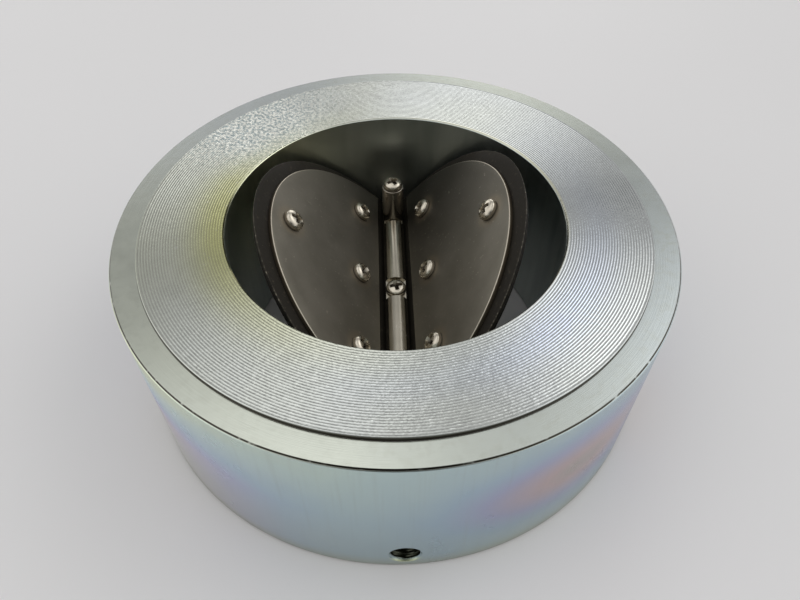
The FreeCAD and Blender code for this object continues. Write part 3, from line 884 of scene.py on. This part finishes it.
def edge_section(low, high, radius, steps=3):
    """The section of a sheet's edge with both corners rounded."""
    section = []
    for step in range(steps + 1):
        a = math.pi / 2 * step / steps
        section.append((radius * (1 - math.sin(a)), high - radius * (1 - math.cos(a))))
    return section + [(inset, low + high - z) for inset, z in reversed(section)]


def rubber_section():
    """Three plies with two thin fabric lines between them, and worn corners."""
    patchy, half_worn, line_half, line_depth = 0.30, 0.08, 0.10, 0.13
    top, back = RUBBER_TOP, RUBBER_BACK
    section = [(patchy, top), (half_worn, top - half_worn), (0.0, top - patchy)]
    for down in (0.85, 1.7):
        line = top - down
        section += [(0.0, line + line_half), (line_depth, line), (0.0, line - line_half)]
    return section + [(0.0, back + patchy), (half_worn, back + half_worn), (patchy, back)]


def under_the_rod(place):
    """Lays a place in the flat sheet round the rod's underside, its top against the rod."""
    angle, radius = place.x / WRAP_RADIUS, -place.z
    return Vector((radius * math.sin(angle), place.y, -radius * math.cos(angle)))


def round_the_rod(place):
    """Lays only the part of the sheet with x below 0 round the rod."""
    return under_the_rod(place) if place.x < 0 else place


def make_flap(side):
    body = f"{side}_flap"
    local = flap_frame(side)
    # rubber: from the clamped strip under the rod, round the rod and out to the tip
    wrap = math.radians(REST_ANGLE[side] - STRIP_REACH + STRIP_OVERLAP) * WRAP_RADIUS
    bends, steps = 12, 90
    rows = [(-wrap + wrap * k / bends, LEAF_HALF) for k in range(bends)]
    rows += ellipse_rows(LEAF_CENTRE, LEAF_MAJOR, LEAF_MINOR, 0.0, LEAF_HALF, steps)
    shape, places, rim = sheet(rows, rubber_section(), round_the_rod, EDGE_SLANT)
    leaf = piece(f"{side}_rubber_sheet", moved(shape, local), None, rubber,
                 [f"{side}_rubber_hinge", f"{side}_rubber_leaf"], sharp=50)
    mark_sheet(leaf, places, rim)
    outward, bend_length = local.to_3x3() @ Vector((1, 0, 0)), 4.2
    centre = Vector((0, 0, ROD_HEIGHT))
    (centre - outward * bend_length) * MM
    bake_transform(leaf)
    # plates
    for name, high, low, node in (("plate", PLATE_TOP, RUBBER_TOP, "top_plate"),
                                  ("backing", RUBBER_BACK, PLATE_BACK, "backing_plate")):
        rows = ellipse_rows(PLATE_CENTRE, PLATE_MAJOR, PLATE_MINOR, PLATE_START, PLATE_MINOR,
                            steps)
        shape, _, rim = sheet(rows, edge_section(low, high, 0.25))
        item = piece(f"{side}_{name}", shape, body, plate_steel[side],
                     [f"{side}_{node}"], local, sharp=50)
        mark(item, "rim", rim)
    # fasteners
    turns = SCREW_TURNS[side]
    screws = joined(*[moved(screw(FLAP_SCREW_LENGTH, turns[k]), at(x, y, PLATE_TOP))
                      for k, (x, y) in enumerate(SCREWS)])
    item = piece(f"{side}_pan_screws", screws, body, screw_steel,
                 [f"{side}_flap_screws"], local)
    mark(item, "recess_shade", shade_on(screws[0], [(x, y, PLATE_TOP) for x, y in SCREWS]))
    washers = joined(*[moved(washer_shape, at(x, y, WASHER_BACK, 40 + 77 * k))
                       for k, (x, y) in enumerate(SCREWS)])
    piece(f"{side}_spring_washers", washers, body, screw_steel,
          [f"{side}_flap_lock_washers"], local)
    nuts = joined(*[moved(nut_shape, at(x, y, NUT_BACK, 23 * k))
                    for k, (x, y) in enumerate(SCREWS)])
    piece(f"{side}_hex_nuts", nuts, body, screw_steel,
          [f"{side}_flap_nuts"], local)


def make_strip():
    """The middle of the rubber, clamped between the rod and the crossbar."""
    reach, steps = math.radians(STRIP_REACH) * WRAP_RADIUS, 6
    rows = [(-reach + 2 * reach * k / steps, LEAF_HALF) for k in range(steps + 1)]
    shape, places, rim = sheet(rows, rubber_section(), under_the_rod)
    strip = piece("clamped_strip", shape, "body", rubber, ["rubber_clamped_strip"],
                  at(0, 0, ROD_HEIGHT), sharp=50)
    mark_sheet(strip, places, rim)


make_strip()
for side in ("left", "right"):
    make_flap(side)

for end in ("rear", "front"):
    node = frame["nodes"][f"{end}_set_screw"]
    node.data.materials.clear()
    node.data.materials.append(bar_steel)


# ---- floor, light and camera ----

def make_floor():
    material, net = new_material("pale_floor")
    *_, vector = net.coordinates()
    blot = net.noise(vector, 3.0, 3.0)
    colour = net.mix(blot, (0.76, 0.75, 0.75), (0.80, 0.79, 0.79))
    net.surface(colour, 0.5, 0.0, specular=0.3)
    half, below = 3000.0, 0.1
    corners = [(x, y, ring_low.z - below) for x, y in rectangle(-half, -half, half, half)]
    floor = add_object("floor", mesh_of("floor", (corners, [(0, 1, 2, 3)])))
    floor.data.materials.append(material)


# A soft room: one even base, darker on one side, and broad patches that are brighter or darker
# than it, as (azimuth, elevation, strength). Azimuth 0 is +X and 90 is +Y.
BASE_LIGHT, LEAST_LIGHT, WORLD_GAIN = 1.15, 0.02, 1.2
DARK_SIDE, DARK_SHARPNESS, PATCH_SHARPNESS = (-90.0, 22.0, 1.10), 3.5, 30.0
PATCHES = [
    (51.4, 8, -0.72), (68.6, 8, 0.72), (85.7, 8, 1.01), (102.9, 8, -0.85), (120, 8, 0.73),
    (37.9, 24, -0.47), (56.8, 24, -0.85), (75.8, 24, 0.39), (94.7, 24, -0.39), (113.7, 24, 0.40),
    (132.6, 24, -0.49), (151.6, 24, -0.14), (0, 40, 0.17), (22.5, 40, 0.54), (45, 40, 0.55),
    (67.5, 40, -0.61), (90, 40, -0.41), (112.5, 40, -0.63), (135, 40, -0.42), (157.5, 40, -0.16),
    (0, 56, 0.22), (30, 56, 0.57), (60, 56, -0.26), (210, 56, 0.14), (240, 56, 0.15),
    (270, 56, 0.15), (300, 56, 0.14), (0, 72, -0.35), (51.4, 72, -0.69), (102.9, 72, 0.29),
]


def make_world():
    world = bpy.data.worlds.new("studio")
    bpy.context.scene.world = world
    net = Net(world)
    direction = net.new("ShaderNodeTexCoord").outputs["Generated"]

    def lobe(azimuth, elevation, sharpness):
        a, e = math.radians(azimuth), math.radians(elevation)
        dot = net.new("ShaderNodeVectorMath", operation="DOT_PRODUCT")
        net.tree.links.new(direction, dot.inputs[0])
        dot.inputs[1].default_value = (math.cos(a) * math.cos(e), math.sin(a) * math.cos(e),
                                       math.sin(e))
        off = Value(net, dot.outputs["Value"]).calc("MULTIPLY_ADD", sharpness, -sharpness)
        return off.calc("EXPONENT")

    azimuth, elevation, strength = DARK_SIDE
    light = lobe(azimuth, elevation, DARK_SHARPNESS).calc("MULTIPLY_ADD", -strength, BASE_LIGHT)
    for azimuth, elevation, strength in PATCHES:
        light = lobe(azimuth, elevation, PATCH_SHARPNESS).calc("MULTIPLY_ADD", strength, light)
    background = net.new("ShaderNodeBackground")
    net.feed(background.inputs["Strength"], light.calc("MAXIMUM", LEAST_LIGHT) * WORLD_GAIN)
    output = net.new("ShaderNodeOutputWorld")
    net.tree.links.new(background.outputs[0], output.inputs[0])


CAMERA_PLACE, CAMERA_AIM = Vector((-3.98, -157.2, 197.8)) * MM, Vector((0.17, -35.7, 60.0)) * MM
LENS, SENSOR_WIDTH = 29.92, 36.0


def make_camera():
    data = bpy.data.cameras.new("camera")
    data.lens, data.sensor_width = LENS, SENSOR_WIDTH
    data.clip_start, data.clip_end = 0.005, 20.0
    camera = add_object("camera", data)
    camera.location = CAMERA_PLACE
    camera.rotation_mode = "QUATERNION"
    camera.rotation_quaternion = (CAMERA_AIM - CAMERA_PLACE).to_track_quat("-Z", "Y")
    bpy.context.scene.camera = camera


make_floor()
make_world()
make_camera()
bpy.context.scene.view_settings.view_transform = "Standard"
